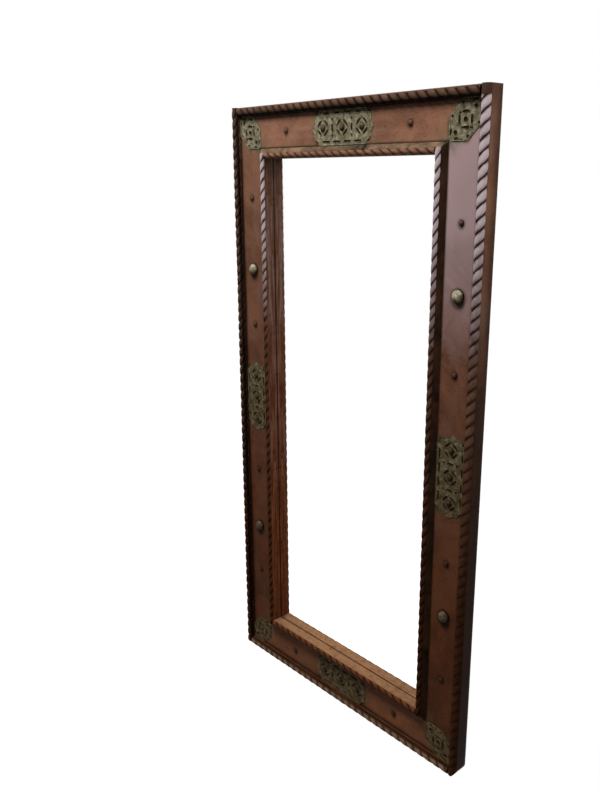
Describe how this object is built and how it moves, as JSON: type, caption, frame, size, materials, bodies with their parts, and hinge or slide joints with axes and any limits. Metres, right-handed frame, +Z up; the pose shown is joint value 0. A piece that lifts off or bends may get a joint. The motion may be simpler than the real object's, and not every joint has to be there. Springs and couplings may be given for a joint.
{
  "type": "copper framed mirror",
  "caption": "Tall wall mirror with a wide copper-clad wooden frame, rope mouldings, pierced corner and side mounts, domed studs and plain glass.",
  "frame": {"origin": "middle of the back, in the plane of the wall", "axes": "+Z up, +Y out of the back into the wall, so the mirror faces -Y; +X is to the right of someone who looks into it"},
  "size_m": [0.9, 0.0514, 1.76],
  "materials": {
    "oak": "planed oak, dark with age",
    "plywood": "plain plywood",
    "copper_sheet": "thin copper sheet, brown with age, satin with green stains",
    "copper_rope": "carved wood clad in thin copper, worn bright on the strands",
    "patina_mount": "pierced sheet with a dull green-brown patina",
    "old_brass": "tarnished, satin",
    "copper_stud": "brown copper, satin",
    "mirror_glass": "silvered glass",
    "steel": "zinc plated steel"
  },
  "bodies": {
    "frame": {"top_core_board": "oak", "bottom_core_board": "oak", "left_core_board": "oak", "right_core_board": "oak", "mitre_splines": "plywood", "top_sight_moulding": "oak", "bottom_sight_moulding": "oak", "left_sight_moulding": "oak", "right_sight_moulding": "oak", "top_face_sheet": "copper_sheet", "bottom_face_sheet": "copper_sheet", "left_face_sheet": "copper_sheet", "right_face_sheet": "copper_sheet", "top_liner_sheet": "copper_sheet", "bottom_liner_sheet": "copper_sheet", "left_liner_sheet": "copper_sheet", "right_liner_sheet": "copper_sheet", "top_outer_rope": "copper_rope", "bottom_outer_rope": "copper_rope", "left_outer_rope": "copper_rope", "right_outer_rope": "copper_rope", "top_inner_rope": "copper_rope", "bottom_inner_rope": "copper_rope", "left_inner_rope": "copper_rope", "right_inner_rope": "copper_rope", "top_mount": "patina_mount", "bottom_mount": "patina_mount", "left_mount": "patina_mount", "right_mount": "patina_mount", "top_left_corner_mount": "patina_mount", "top_right_corner_mount": "patina_mount", "bottom_left_corner_mount": "patina_mount", "bottom_right_corner_mount": "patina_mount", "mount_nails": "old_brass", "dome_studs": "old_brass", "small_studs": "copper_stud", "mirror_glass": "mirror_glass", "backing_panel": "plywood", "panel_screws": "steel", "left_hanger": "steel", "right_hanger": "steel", "hanger_screws": "steel"},
    "left_ring": {"left_ring": "steel"},
    "right_ring": {"right_ring": "steel"}
  },
  "joints": [
    {"name": "left_ring_swing", "type": "hinge", "parent": "frame", "child": "left_ring", "pos_m": [-0.39065, -0.00637, 0.52], "axis": [1, 0, 0], "range_deg": [0, 180]},
    {"name": "right_ring_swing", "type": "hinge", "parent": "frame", "child": "right_ring", "pos_m": [0.39065, -0.00637, 0.52], "axis": [1, 0, 0], "range_deg": [0, 180]}
  ]
}
